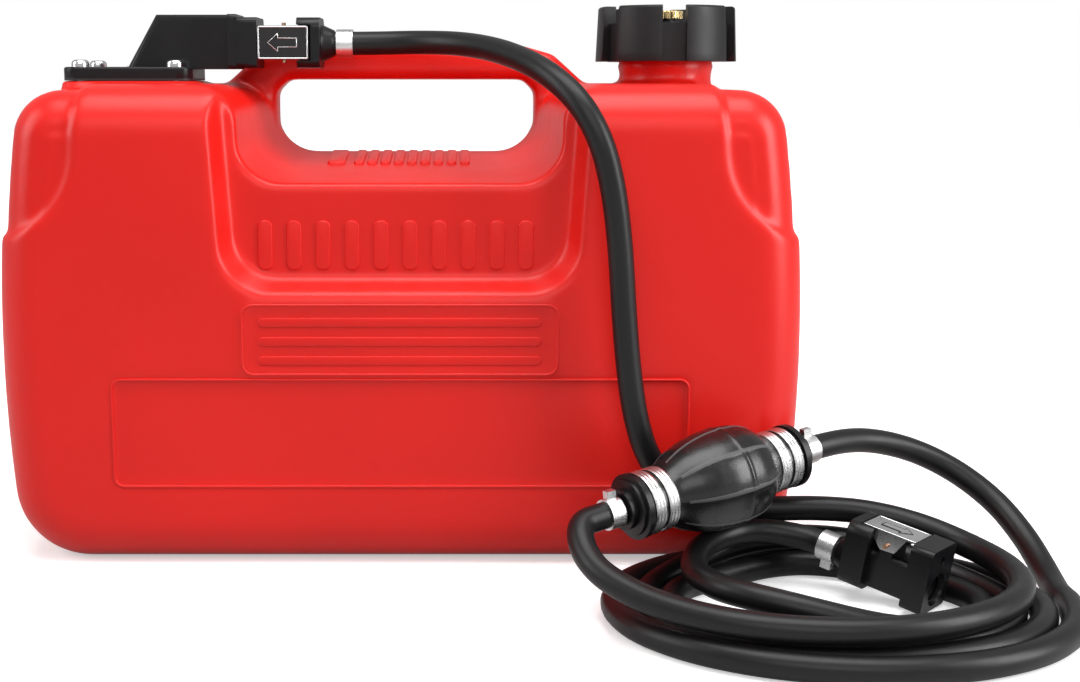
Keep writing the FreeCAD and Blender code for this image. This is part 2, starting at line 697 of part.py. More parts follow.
def make_strainer():
    low = V(PICKUP_X, PICKUP_Y, strainer_low_z())
    high = low + V(0, 0, STRAINER_HEIGHT)
    cup = rod(0.5 * STRAINER_OD, low, high)
    cup = cup.cut(rod(0.5 * STRAINER_OD - 1.2, low + V(0, 0, 1.2), high - V(0, 0, 3)))
    cup = cup.cut(rod(0.5 * PICKUP_TUBE_OD, low + V(0, 0, 2), high + V(0, 0, 1)))
    for index in range(6):
        angle = math.pi * index / 6
        out = V(math.cos(angle), math.sin(angle), 0)
        slot = box(-STRAINER_OD, STRAINER_OD, -0.6, 0.6, 3, STRAINER_HEIGHT - 5)
        cup = cup.cut(placed(slot, low, out, UP))
    return cup.removeSplitter()


# Quick connector, in its own frame


def connector_body():
    half = 0.5 * CON_WIDTH
    nose = soft_box(-NOSE_LENGTH, 0, -half, half, -CON_BELOW, CON_ABOVE, CON_ROUND, V(1, 0, 0))
    rear = soft_box(-CON_LENGTH, -CON_LENGTH + REAR_LENGTH, -half, half, -CON_BELOW, CON_ABOVE,
                    2 * CON_ROUND, V(1, 0, 0))
    waist = soft_box(-CON_LENGTH + 2, -2, -WAIST_HALF, WAIST_HALF, -CON_BELOW + WAIST_INSET,
                     WAIST_TOP, CON_ROUND, V(1, 0, 0))
    cone = Part.makeCone(0.5 * CONE_D + 2, 0.5 * HOSE_D + 0.5, CONE_LENGTH,
                         V(-CON_LENGTH, 0, 0), V(-1, 0, 0))
    lug = box(LATCH_PIN_X - 3, LATCH_PIN_X + 3, -WAIST_HALF, WAIST_HALF, 0, LATCH_PIN_Z + 2.3)
    body = fuse_all([nose, rear, waist, cone, lug])
    body = body.cut(box(-NOSE_LENGTH - 0.5, LIP_FRONT_X + 0.7, -TONGUE_HALF - 0.4,
                        TONGUE_HALF + 0.4, PIN_HOLE_RISE, SLOT_TOP_Z))
    relief_half = 0.5 * LATCH_WIDTH + 0.5
    rear_face = -CON_LENGTH + REAR_LENGTH
    body = body.cut(box(latch_back() - 1.0, rear_face + 1, -relief_half, relief_half, WAIST_TOP,
                        CON_ABOVE + 1))
    port = rod(0.5 * PORT_D, V(-PORT_DEPTH, 0, 0), V(1, 0, 0))
    mouth = rod(0.5 * PORT_MOUTH_D, V(-PORT_MOUTH_DEPTH, 0, 0), V(1, 0, 0))
    seal_x = seal_place()
    groove = rod(0.5 * SEAL_OD, V(seal_x - SEAL_WIDTH, 0, 0), V(seal_x, 0, 0))
    seat = rod(0.5 * BALL_SEAT_D, V(-PORT_DEPTH - 2, 0, 0), V(0, 0, 0))
    chamber_x = -PORT_DEPTH - 1.5
    chamber = rod(0.5 * BALL_CHAMBER_D, V(chamber_x - BALL_CHAMBER_LENGTH, 0, 0),
                  V(chamber_x, 0, 0))
    outlet = rod(2.5, V(-CON_LENGTH - CONE_LENGTH - 1, 0, 0), V(chamber_x - 5, 0, 0))
    guide = rod(0.5 * PIN_HOLE_D, V(-NOSE_LENGTH - 1, 0, PIN_HOLE_RISE), V(1, 0, PIN_HOLE_RISE))
    pin_hole = rod(0.5 * LATCH_PIN_D, V(LATCH_PIN_X, -CON_WIDTH, LATCH_PIN_Z),
                   V(LATCH_PIN_X, CON_WIDTH, LATCH_PIN_Z))
    for tool in (port, mouth, groove, seat, chamber, outlet, guide, pin_hole):
        body = body.cut(tool)
    return body.removeSplitter()


def seal_place():
    return -PORT_MOUTH_DEPTH - 1.5


def connector_seal():
    return ring(0.5 * SEAL_OD, 0.5 * SPIGOT_OD + SEAL_FIT, V(seal_place() - SEAL_WIDTH, 0, 0),
                V(seal_place(), 0, 0))


def ball_rest_x():
    """Centre of the check ball on the rim of its seat."""
    lean = math.sqrt((0.5 * BALL_D) ** 2 - (0.5 * BALL_SEAT_D) ** 2)
    return -PORT_DEPTH - 2 - lean


def check_ball(shift):
    return Part.makeSphere(0.5 * BALL_D, V(ball_rest_x() - JOINT_GAP - shift, 0, 0))


def spring_coil(start, end, diameter, wire, turns):
    """Round wire compression spring between two points along X or Z."""
    axis = end - start
    helix = Part.makeHelix(axis.Length / turns, axis.Length, 0.5 * diameter)
    profile = Part.Wire(Part.Circle(V(0.5 * diameter, 0, 0), V(0, 1, 0), 0.5 * wire).toShape())
    coil = Part.Wire(helix).makePipeShell([profile], True, True)
    side = V(0, 1, 0) if abs(axis.y) < 0.5 * axis.Length else V(1, 0, 0)
    return placed(coil, start, side.cross(axis), axis)


def ball_spring(shift):
    low = ball_rest_x() - JOINT_GAP - shift - 0.5 * BALL_D - 0.2
    high = -PORT_DEPTH - 1.5 - BALL_CHAMBER_LENGTH + BALL_SPRING_WIRE
    return spring_coil(V(high, 0, 0), V(low - 0.5 * BALL_SPRING_WIRE, 0, 0), BALL_SPRING_D,
                       BALL_SPRING_WIRE, BALL_SPRING_TURNS)


def latch_front():
    return -NOSE_LENGTH - JOINT_GAP


def latch_back():
    return latch_front() - LATCH_LENGTH


def latch_plate():
    """Pressed sheet latch with side cheeks, a lipped tongue and an embossed arrow."""
    half = 0.5 * LATCH_WIDTH
    front = latch_front()
    back = latch_back()
    sheet = LATCH_SHEET
    top = box(back, front, -half, half, LATCH_Z, LATCH_Z + sheet)
    drop = box(front - sheet, front, -TONGUE_HALF, TONGUE_HALF, TONGUE_LOW_Z, LATCH_Z + 0.1)
    tongue = box(front - sheet, LIP_FRONT_X, -TONGUE_HALF, TONGUE_HALF, TONGUE_LOW_Z,
                 TONGUE_LOW_Z + sheet)
    lip = box(LIP_FRONT_X - sheet, LIP_FRONT_X, -TONGUE_HALF, TONGUE_HALF, LIP_LOW_Z,
              TONGUE_LOW_Z + 0.1)
    cheeks = []
    for side in (-1, 1):
        outer = side * half
        outline = [V(back + 2, outer, LATCH_Z + 0.1), V(front - 4, outer, LATCH_Z + 0.1),
                   V(LATCH_PIN_X + 4, outer, LATCH_Z - LATCH_SIDE_DROP),
                   V(LATCH_PIN_X - 2.5, outer, LATCH_PIN_Z - 2.5)]
        cheeks.append(extrude(outline, V(0, -side * sheet, 0)))
    rise = LATCH_ARROW_RISE
    z0 = LATCH_Z + LATCH_SHEET - 0.05
    arrow_front = front - 5.5
    head = extrude([V(arrow_front, 0, z0), V(arrow_front - 4, 3.4, z0),
                    V(arrow_front - 4, -3.4, z0)], V(0, 0, rise))
    shaft = box(arrow_front - 13, arrow_front - 3.9, -1.7, 1.7, z0, z0 + rise)
    arrow = head.fuse(shaft)
    plate = fuse_all([top, drop, tongue, lip] + cheeks + [arrow])
    hole = rod(0.5 * LATCH_PIN_D + RUNNING_CLEARANCE, V(LATCH_PIN_X, -CON_WIDTH, LATCH_PIN_Z),
               V(LATCH_PIN_X, CON_WIDTH, LATCH_PIN_Z))
    return plate.cut(hole)


def latch_pin():
    reach = 0.5 * LATCH_WIDTH + 1.5
    return rod(0.5 * LATCH_PIN_D, V(LATCH_PIN_X, -reach, LATCH_PIN_Z),
               V(LATCH_PIN_X, reach, LATCH_PIN_Z))


def latch_spring():
    low = WAIST_TOP + 0.5 * LATCH_SPRING_WIRE + 0.05
    high = LATCH_Z - 0.5 * LATCH_SPRING_WIRE - JOINT_GAP
    return spring_coil(V(LATCH_SPRING_X, 0, low), V(LATCH_SPRING_X, 0, high), LATCH_SPRING_D,
                       LATCH_SPRING_WIRE, LATCH_SPRING_TURNS)


def hose_clamp():
    """Worm free band with a pinched ear, in the connector frame behind the cone."""
    start = V(-CON_LENGTH - CONE_LENGTH - 1, 0, 0)
    end = start - V(CLAMP_LENGTH, 0, 0)
    band_r = 0.5 * HOSE_D + CLAMP_SHEET
    band = rod(band_r, end, start)
    ear = box(end.x + 1.5, start.x - 1.5, -1.6, 1.6, -band_r - CLAMP_EAR, -0.5 * HOSE_D - 0.2)
    whole = fuse_all([band, ear])
    return whole.cut(rod(0.5 * HOSE_D, end - V(1, 0, 0), start + V(1, 0, 0)))


HOSE_FACE_X = -CON_LENGTH - CONE_LENGTH

# Primer bulb, in its own frame


def bulb_span():
    return (BULB_OUTLET - BULB_INLET).Length


def bulb_profile(offset):
    """Outer radius along the bulb between its necks, moved in by offset."""
    span = bulb_span()
    start = FITTING_STATION + BAND_ZONE
    end = span - start
    shape = ((0.0, 0.0), (0.05, 0.15), (0.16, 0.52), (0.30, 0.80), (0.45, 0.96), (0.60, 1.0),
             (0.75, 0.93), (0.87, 0.68), (0.95, 0.28), (1.0, 0.0))
    rows = []
    for along, swell in shape:
        x = start + (end - start) * along
        rows.append((x, BULB_NECK_R + (BULB_MAX_R - BULB_NECK_R) * swell - offset))
    return rows


FITTING_STATION = CLAMP_LENGTH + 9.0
BAND_ZONE = NECK_LENGTH


def bulb_skin(offset, start_x, end_x, start_r, end_r):
    rows = bulb_profile(offset)
    points = [V(start_x, start_r, 0)] + [V(x, r, 0) for x, r in rows] + [V(end_x, end_r, 0)]
    curve = Part.BSplineCurve()
    curve.interpolate(points[1:-1])
    edges = [Part.LineSegment(points[0], points[1]).toShape(), curve.toShape(),
             Part.LineSegment(points[-2], points[-1]).toShape(),
             Part.LineSegment(points[-1], V(end_x, 0, 0)).toShape(),
             Part.LineSegment(V(end_x, 0, 0), V(start_x, 0, 0)).toShape(),
             Part.LineSegment(V(start_x, 0, 0), points[0]).toShape()]
    return Part.Face(Part.Wire(edges)).revolve(V(0, 0, 0), V(1, 0, 0), 360)


def make_bulb():
    span = bulb_span()
    start = FITTING_STATION
    end = span - FITTING_STATION
    bulb = bulb_skin(0, start, end, BULB_NECK_R, BULB_NECK_R)
    bore_r = BULB_NECK_R - BULB_WALL
    inside = bulb_skin(BULB_WALL, start - 1, end + 1, bore_r, bore_r)
    girth_x = bulb_profile(0)[5][0]
    low_r = BULB_MAX_R - 1.0
    high_r = BULB_MAX_R + BULB_SEAM_RISE
    half = 0.5 * BULB_SEAM_WIDTH
    girth = revolve_x([(girth_x - half, low_r), (girth_x - 0.6 * half, high_r),
                       (girth_x + 0.6 * half, high_r), (girth_x + half, low_r)])
    return fuse_all([bulb.cut(inside), girth])


def bulb_fitting():
    """Stepped black fitting in the inlet neck, hose side at x = 0."""
    stem_x = CLAMP_LENGTH + 1.0
    flange_x = FITTING_STATION
    inner_r = BULB_NECK_R - BULB_WALL
    profile = [(stem_x, 0.5 * FITTING_BORE), (stem_x, FITTING_STEM_R),
               (stem_x + 3.0, FITTING_STEM_R), (stem_x + 3.5, FITTING_FLANGE_R - 2.2),
               (stem_x + 5.0, FITTING_FLANGE_R - 2.0), (stem_x + 5.3, FITTING_FLANGE_R),
               (flange_x, FITTING_FLANGE_R), (flange_x, inner_r),
               (flange_x + NECK_LENGTH - 1, inner_r),
               (flange_x + NECK_LENGTH - 1, 0.5 * VALVE_D),
               (flange_x + NECK_LENGTH - 1 - VALVE_THICKNESS, 0.5 * VALVE_D),
               (flange_x + NECK_LENGTH - 1 - VALVE_THICKNESS, 0.5 * FITTING_BORE)]
    return revolve_x(profile)


def bulb_bands():
    first = FITTING_STATION + 1.2
    rings = []
    for index in range(2):
        start = first + index * (BAND_WIDTH + BAND_GAP)
        rings.append(ring(BULB_NECK_R + BAND_SHEET, BULB_NECK_R, V(start, 0, 0),
                          V(start + BAND_WIDTH, 0, 0)))
    return Part.makeCompound(rings)


def bulb_valve():
    """Thin valve disc with a centre web at the inner end of a fitting."""
    end = FITTING_STATION + NECK_LENGTH - 1
    start = end - VALVE_THICKNESS
    return rod(0.5 * VALVE_D, V(start + 0.02, 0, 0), V(end, 0, 0))


def bulb_hose_clamp():
    band_r = 0.5 * HOSE_D + CLAMP_SHEET
    start = V(0.8, 0, 0)
    end = V(CLAMP_LENGTH - 0.4, 0, 0)
    ear = box(start.x + 1.2, end.x - 1.2, -1.6, 1.6, 0.5 * HOSE_D + 0.2, band_r + CLAMP_EAR)
    whole = fuse_all([rod(band_r, start, end), ear])
    return whole.cut(rod(0.5 * HOSE_D, V(-1, 0, 0), V(CLAMP_LENGTH + 1, 0, 0)))


def bulb_axis():
    return (BULB_OUTLET - BULB_INLET).normalize()


def at_inlet(shape):
    return placed(shape, BULB_INLET, bulb_axis(), UP)


def at_outlet(shape):
    return placed(shape, BULB_OUTLET, bulb_axis() * -1, UP)


# Hoses


def hose_along(name, route):
    """Round hose on straight runs joined by tangent arcs."""
    points = [V(*point) for point in route]
    edges = []
    radii = []
    last = points[0]
    length = 0.0
    for before, here, after in zip(points, points[1:], points[2:]):
        arrive = here - before
        leave = after - here
        shorter = min(arrive.Length, leave.Length)
        arrive_dir = V(arrive).normalize()
        leave_dir = V(leave).normalize()
        turn = arrive_dir.getAngle(leave_dir)
        radius = 0.45 * shorter / math.tan(0.5 * turn)
        reach = radius * math.tan(0.5 * turn)
        radii.append(radius)
        start = here - arrive_dir * reach
        end = here + leave_dir * reach
        bisector = (leave_dir - arrive_dir).normalize()
        middle = here + bisector * (radius / math.cos(0.5 * turn) - radius)
        edges.append(Part.LineSegment(last, start).toShape())
        edges.append(Part.Arc(start, middle, end).toShape())
        length += (start - last).Length + radius * turn
        last = end
    edges.append(Part.LineSegment(last, points[-1]).toShape())
    length += (points[-1] - last).Length
    path = Part.Wire(edges)
    direction = points[1] - points[0]
    section = Part.Wire(Part.Circle(points[0], direction, 0.5 * HOSE_D).toShape())
    tube = path.makePipeShell([section], True, False)
    expected = 0.25 * math.pi * HOSE_D ** 2 * length
    print("%s: length %.0f mm, volume ratio %.4f, radii %s" % (
        name, length, tube.Volume / expected, " ".join("%.0f" % r for r in radii)))
    return tube


def ease(value):
    value = min(1.0, max(0.0, value))
    return value * value * (3 - 2 * value)


def coil_point(turns):
    """Centre line of the coil after a number of clockwise turns from its right side."""
    angle = -360.0 * turns
    off_back = abs((angle - 90 + 180) % 360 - 180)
    back = 0.0
    if off_back < BACK_HALF_ANGLE:
        back = 0.5 * (1 + math.cos(math.pi * off_back / BACK_HALF_ANGLE))
    phase = math.radians(angle)
    half_x = COIL_HALF_X - turns * COIL_PITCH
    half_y = COIL_HALF_Y - turns * COIL_PITCH
    radius = 1 / math.hypot(math.cos(phase) / half_x, math.sin(phase) / half_y)
    radius += turns * COIL_BACK_DRAW * back * back
    lifted = int(turns) % 2 == 1
    z = HOSE_REST_Z + (COIL_BACK_LIFT * back * (2 - back) if lifted else 0.0)
    z += COIL_END_LIFT * ease((turns - COIL_TURNS + 0.42) / 0.36)
    return V(COIL_CENTRE_X + radius * math.cos(phase), COIL_CENTRE_Y + radius * math.sin(phase), z)


def coil_tangent(turns):
    step = 0.002
    early = max(0.0, turns - step)
    late = min(COIL_TURNS, turns + step)
    return (coil_point(late) - coil_point(early)).normalize()


def corner_arc(start, corner, end):
    """Arc tangent to both legs of an even legged corner."""
    arrive = (corner - start).normalize()
    leave = (end - corner).normalize()
    turn = arrive.getAngle(leave)
    if turn < 1e-4:
        return Part.LineSegment(start, end).toShape()
    chord_middle = (start + end) * 0.5
    rise = 0.5 * (end - start).Length * math.tan(0.25 * turn)
    middle = chord_middle + (corner - chord_middle).normalize() * rise
    return Part.Arc(start, middle, end).toShape()


def biarc(p0, t0, p1, t1):
    """Two tangent arcs from p0 along t0 to p1 along t1."""
    span = p1 - p0
    both = t0 + t1
    a = both.dot(both) - 4
    b = -2 * span.dot(both)
    c = span.dot(span)
    if abs(a) < 1e-9:
        reach = -c / b
    else:
        reach = (-b - math.sqrt(b * b - 4 * a * c)) / (2 * a)
    corner0 = p0 + t0 * reach
    corner1 = p1 - t1 * reach
    middle = (corner0 + corner1) * 0.5
    return [corner_arc(p0, corner0, middle), corner_arc(middle, corner1, p1)]


def make_coil():
    count = int(round(COIL_TURNS * COIL_STEPS_PER_TURN))
    stations = [COIL_TURNS * index / count for index in range(count + 1)]
    points = [coil_point(turns) for turns in stations]
    tangents = [coil_tangent(turns) for turns in stations]
    tangents[0] = V(0, -1, 0)
    tangents[-1] = V(0, 1, 0)
    edges = []
    for index in range(count):
        edges += biarc(points[index], tangents[index], points[index + 1], tangents[index + 1])
    path = Part.Wire(edges)
    section = Part.Wire(Part.Circle(points[0], tangents[0], 0.5 * HOSE_D).toShape())
    tube = path.makePipeShell([section], True, False)
    expected = 0.25 * math.pi * HOSE_D ** 2 * path.Length
    print("coil: length %.0f mm, volume ratio %.4f, least gap %.2f mm" % (
        path.Length, tube.Volume / expected, coil_gap()))
    return tube


def coil_gap():
    """Least surface distance between different turns, measured on points."""
    per_turn = 120
    count = int(COIL_TURNS * per_turn)
    points = [coil_point(index / per_turn) for index in range(count + 1)]
    least = 1e9
    for first in range(0, count + 1):
        for second in range(first + per_turn // 2, count + 1):
            least = min(least, (points[first] - points[second]).Length)
    return least - HOSE_D


TANK_CON_ORIGIN = V(HOOD_RIGHT + COLLAR_THICKNESS + 0.02, OUTLET_Y, OUTLET_Z)
TANK_CON_AXIS = V(-1, 0, 0)
TANK_CON_LATCH = V(0, -1, 0)

ENGINE_CON_ORIGIN = V(231.6, -165.0, 10.6)
ENGINE_CON_HEADING = -41.0
ENGINE_CON_TILT = -10.0


def engine_con_axis():
    heading = math.radians(ENGINE_CON_HEADING)
    tilt = math.radians(ENGINE_CON_TILT)
    return V(math.cos(tilt) * math.cos(heading), math.cos(tilt) * math.sin(heading),
             math.sin(tilt))


def engine_con_up():
    axis = engine_con_axis()
    side = UP.cross(axis).normalize()
    return axis.cross(side)


def at_tank(shape):
    return placed(shape, TANK_CON_ORIGIN, TANK_CON_AXIS, TANK_CON_LATCH)


def at_engine(shape):
    return placed(shape, ENGINE_CON_ORIGIN, engine_con_axis(), engine_con_up())


def as_tuple(vector):
    return (vector.x, vector.y, vector.z)


def tank_hose_route():
    start = TANK_CON_ORIGIN + TANK_CON_AXIS * HOSE_FACE_X
    axis = bulb_axis()
    end = BULB_INLET + axis * (CLAMP_LENGTH + 1.0)
    return [as_tuple(start), (-14, -26, OUTLET_Z), (8, -31, 244.0), (30, -47, 243.0),
            (49, -73, 238.5), (66, -100, 230.0), (80.5, -115, 216.5), (90, -119, 199),
            (95.5, -118, 178), (99, -116.5, 152), (101, -115.5, 124), (103.5, -115, 98),
            (107, -114.5, 75), (113.5, -112.5, 55), (126, -110.3, 40), (146, -108, 31.5),
            (169, -107, 30), (193, -106.7, 30.5), (217, -108.5, 29), (239, -117, 25),
            (256, -132, 20), (265, -153, 17.9), (264.5, -176, 17.8), (256, -197, 17.8),
            (240, -215, 17.8), (217, -229, 17.8), (190, -236, 17.8), (162, -236, 17.9),
            (137, -229.5, 18.2), (115.5, -218.5, 19.3), (97, -205.5, 22.3), (80.5, -190, 29.5),
            as_tuple(BULB_INLET - axis * 14.0), as_tuple(end)]


def engine_lead_route():
    axis = bulb_axis()
    start = BULB_OUTLET - axis * (CLAMP_LENGTH + 1.0)
    end = coil_point(0)
    return [as_tuple(start), as_tuple(BULB_OUTLET + axis * 9.0), (219, -89, 59), (242, -83, 53),
            (263, -85, 43), (279, -97, 31), (287, -115, 19), (289.3, -131.5, 10.5),
            (289, -145, 6.5), as_tuple(end + V(0, 12, 0)), as_tuple(end)]


def engine_tail_route():
    axis = engine_con_axis()
    start = coil_point(COIL_TURNS)
    end = ENGINE_CON_ORIGIN + axis * HOSE_FACE_X
    return [as_tuple(start), as_tuple(start + V(0, 11.5, 0)), (131.2, -146.3, 19.8),
            (136.6, -135.2, 21.3), (145.2, -126.6, 22.6), (156.3, -121.0, 23.3),
            (168.6, -119.6, 23.2), as_tuple(end - axis * 16.5), as_tuple(end)]


def build():
    nodes = {}
    nodes["tank_body"] = make_tank_body()
    nodes["filler_cap"] = make_filler_cap()
    nodes["cap_gasket"] = make_cap_gasket()
    nodes["vent_seal"] = make_vent_seal()
    nodes["vent_screw"] = make_vent_screw()
    nodes["pickup_gasket"] = make_pickup_gasket()
    nodes["pickup_housing"] = make_pickup_housing()
    nodes["outlet_spigot"] = make_outlet_spigot()
    nodes["pickup_screws"] = make_pickup_screws()
    nodes["pickup_tube"] = make_pickup_tube()
    nodes["pickup_strainer"] = make_strainer()
    spigot_reach = SPIGOT_LENGTH + SPIGOT_TIP_LENGTH
    tank_ball_shift = ball_rest_x() - JOINT_GAP + 0.5 * BALL_D + spigot_reach
    for prefix, place, shift in (("tank", at_tank, tank_ball_shift), ("engine", at_engine, 0.0)):
        nodes[prefix + "_connector_body"] = place(connector_body())
        nodes[prefix + "_connector_seal"] = place(connector_seal())
        nodes[prefix + "_check_ball"] = place(check_ball(shift))
        nodes[prefix + "_ball_spring"] = place(ball_spring(shift))
        nodes[prefix + "_latch"] = place(latch_plate())
        nodes[prefix + "_latch_pin"] = place(latch_pin())
        nodes[prefix + "_latch_spring"] = place(latch_spring())
        nodes[prefix + "_hose_clamp"] = place(hose_clamp())
    nodes["primer_bulb"] = at_inlet(make_bulb())
    for prefix, place in (("inlet", at_inlet), ("outlet", at_outlet)):
        nodes["bulb_" + prefix + "_fitting"] = place(bulb_fitting())
        nodes["bulb_" + prefix + "_bands"] = place(bulb_bands())
        nodes["bulb_" + prefix + "_valve"] = place(bulb_valve())
        nodes["bulb_" + prefix + "_clamp"] = place(bulb_hose_clamp())
    nodes["tank_hose"] = hose_along("tank_hose", tank_hose_route())
    nodes["engine_hose_lead"] = hose_along("engine_hose_lead", engine_lead_route())
    nodes["engine_hose_coil"] = make_coil()
    nodes["engine_hose_tail"] = hose_along("engine_hose_tail", engine_tail_route())
    return nodes


def save(nodes):
    os.makedirs("parts", exist_ok=True)
    for name, shape in nodes.items():
        solids = shape.Solids
        if not shape.isValid():
            print("INVALID", name)
        print("%-24s solids %d volume %.0f" % (name, len(solids), shape.Volume))
        if len(solids) == 1:
            shape = solids[0]
        shape.exportStep("parts/" + name + ".step")


save(build())
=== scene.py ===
import bpy
import bmesh
import json
import math
import numpy as np
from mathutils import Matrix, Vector


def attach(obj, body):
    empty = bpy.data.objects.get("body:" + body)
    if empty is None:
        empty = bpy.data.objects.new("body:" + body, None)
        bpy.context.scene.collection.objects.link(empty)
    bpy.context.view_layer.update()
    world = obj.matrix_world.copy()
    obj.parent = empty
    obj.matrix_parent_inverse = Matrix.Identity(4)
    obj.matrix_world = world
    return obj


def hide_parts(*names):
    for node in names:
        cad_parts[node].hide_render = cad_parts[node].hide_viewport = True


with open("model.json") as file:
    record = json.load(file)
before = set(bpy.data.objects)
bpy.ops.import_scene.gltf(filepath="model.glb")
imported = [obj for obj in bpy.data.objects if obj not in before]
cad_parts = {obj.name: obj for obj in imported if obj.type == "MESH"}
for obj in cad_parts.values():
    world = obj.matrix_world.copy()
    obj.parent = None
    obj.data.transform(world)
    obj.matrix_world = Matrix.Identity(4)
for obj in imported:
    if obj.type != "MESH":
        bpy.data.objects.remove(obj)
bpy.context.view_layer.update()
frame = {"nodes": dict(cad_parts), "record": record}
NODES = frame["nodes"]
SCENE = bpy.context.scene
SCENE.view_settings.view_transform = "Standard"
MM = 0.001


# Scene helpers

def link(obj):
    SCENE.collection.objects.link(obj)
    return obj


def mesh_object(name, verts, faces, smooth=True):
    mesh = bpy.data.meshes.new(name)
    mesh.from_pydata([tuple(v) for v in verts], [], faces)
    mesh.update()
    if smooth:
        mesh.polygons.foreach_set("use_smooth", [True] * len(mesh.polygons))
    return link(bpy.data.objects.new(name, mesh))


def finish_piece(obj, material, body="tank"):
    obj.data.materials.clear()
    obj.data.materials.append(material)
    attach(obj, body)
    return obj


# Materials

def material(name, color, rough, metallic=0.0, grain=900.0, bump=0.04, tone=0.12, coat=0.0,
             cloud=14.0, rough_spread=0.08, stretch=(1, 1, 1), specular=0.5):
    """Moulded, rolled or drawn surface: tone clouds, rough spots and a fine grain."""
    mat = bpy.data.materials.new(name)
    mat.use_nodes = True
    nodes = mat.node_tree.nodes
    links = mat.node_tree.links
    shader = nodes["Principled BSDF"]
    shader.inputs["Metallic"].default_value = metallic
    shader.inputs["Coat Weight"].default_value = coat
    shader.inputs["Coat Roughness"].default_value = 0.12
    shader.inputs["Specular IOR Level"].default_value = specular
    coord = nodes.new("ShaderNodeTexCoord")
    mapping = nodes.new("ShaderNodeMapping")
    mapping.inputs["Scale"].default_value = stretch
    links.new(coord.outputs["Object"], mapping.inputs["Vector"])
    clouds = nodes.new("ShaderNodeTexNoise")
    clouds.inputs["Scale"].default_value = cloud
    clouds.inputs["Detail"].default_value = 5.0
    links.new(mapping.outputs["Vector"], clouds.inputs["Vector"])
    ramp = nodes.new("ShaderNodeValToRGB")
    dark = [c * (1 - tone) for c in color]
    light = [min(1.0, c * (1 + tone) + 0.004 * tone) for c in color]
    ramp.color_ramp.elements[0].position = 0.3
    ramp.color_ramp.elements[0].color = (*dark, 1)
    ramp.color_ramp.elements[1].position = 0.72
    ramp.color_ramp.elements[1].color = (*light, 1)
    links.new(clouds.outputs["Fac"], ramp.inputs["Fac"])
    links.new(ramp.outputs["Color"], shader.inputs["Base Color"])
    spots = nodes.new("ShaderNodeTexNoise")
    spots.inputs["Scale"].default_value = cloud * 6
    spots.inputs["Detail"].default_value = 4.0
    links.new(mapping.outputs["Vector"], spots.inputs["Vector"])
    spread = nodes.new("ShaderNodeMapRange")
    spread.inputs["To Min"].default_value = max(0.03, rough - rough_spread)
    spread.inputs["To Max"].default_value = min(1.0, rough + rough_spread)
    links.new(spots.outputs["Fac"], spread.inputs["Value"])
    links.new(spread.outputs["Result"], shader.inputs["Roughness"])
    fine = nodes.new("ShaderNodeTexNoise")
    fine.inputs["Scale"].default_value = grain
    fine.inputs["Detail"].default_value = 3.0
    links.new(mapping.outputs["Vector"], fine.inputs["Vector"])
    relief = nodes.new("ShaderNodeBump")
    relief.inputs["Strength"].default_value = bump
    relief.inputs["Distance"].default_value = 0.0006
    links.new(fine.outputs["Fac"], relief.inputs["Height"])
    links.new(relief.outputs["Normal"], shader.inputs["Normal"])
    return mat


RED = material("tank_plastic", (0.74, 0.010, 0.006), 0.36, grain=520, bump=0.05, tone=0.05,
               cloud=9, rough_spread=0.05, specular=0.36)
RED_SHADER = RED.node_tree.nodes["Principled BSDF"]
RED_SHADER.inputs["Subsurface Weight"].default_value = 0.06
RED_SHADER.inputs["Subsurface Radius"].default_value = (0.012, 0.002, 0.001)
RED_SHADER.inputs["Subsurface Scale"].default_value = 0.3
MATS = {
    "tank_red": RED,
    "cap_black": material("cap_plastic", (0.011, 0.011, 0.012), 0.42, grain=1500, bump=0.12,
                          specular=0.3),
    "fitting_black": material("fitting_plastic", (0.005, 0.005, 0.006), 0.32, grain=1200, bump=0.06,
                              specular=0.28),
    "band_black": material("band_plastic", (0.010, 0.010, 0.011), 0.36, grain=1200, bump=0.05),
    "latch_black": material("latch_paint", (0.010, 0.010, 0.011), 0.26, grain=800, bump=0.05),
    "seal_rubber": material("seal_rubber", (0.01, 0.01, 0.01), 0.5, grain=2000, bump=0.1),
    "hose_rubber": material("hose_rubber", (0.006, 0.006, 0.0065), 0.38, grain=1800, bump=0.08,
                            rough_spread=0.06, cloud=30, specular=0.32),
    "bulb_rubber": material("bulb_rubber", (0.006, 0.006, 0.0065), 0.26, grain=1400, bump=0.10,
                            cloud=30),
    # Lighter grey rubber for the bulb's seam faces: painted sheen along the raised seams
    "seam_rubber": material("seam_rubber", (0.07, 0.07, 0.072), 0.5, grain=1400, bump=0.10,
                            cloud=30),
    "brass": material("brass", (0.72, 0.55, 0.27), 0.24, 1.0, grain=2500, bump=0.05),
    "copper": material("copper", (0.75, 0.42, 0.26), 0.24, 1.0, grain=2500, bump=0.05),
    "screw_steel": material("screw_steel", (0.75, 0.75, 0.75), 0.18, 1.0, grain=2500, bump=0.04),
    "ball_steel": material("ball_steel", (0.7, 0.7, 0.71), 0.15, 1.0, grain=2500, bump=0.03),
    "clamp_steel": material("clamp_steel", (0.68, 0.68, 0.68), 0.28, 1.0, grain=1400, bump=0.15,
                            stretch=(1, 1, 6)),
    "tube_white": material("tube_plastic", (0.72, 0.70, 0.64), 0.4, grain=900, bump=0.05),
}

# The engine latch shows bare steel in place of its slot's paint
OWN = {"engine_latch": "screw_steel"}
for entry in frame["record"]["subparts"]:
    node = NODES[entry["node"]]
    chosen = MATS[OWN.get(entry["node"], entry["material_slot"])]
    if not node.material_slots:
        node.data.materials.append(chosen)
    for place in node.material_slots:
        place.material = chosen


# Camera, light and floor

FRAME_WIDTH = 1080
FOCAL_PIXELS = 1546
CENTRE_SHIFT_PIXELS = 77
TILT_DEG = 9.6
SENSOR = 36

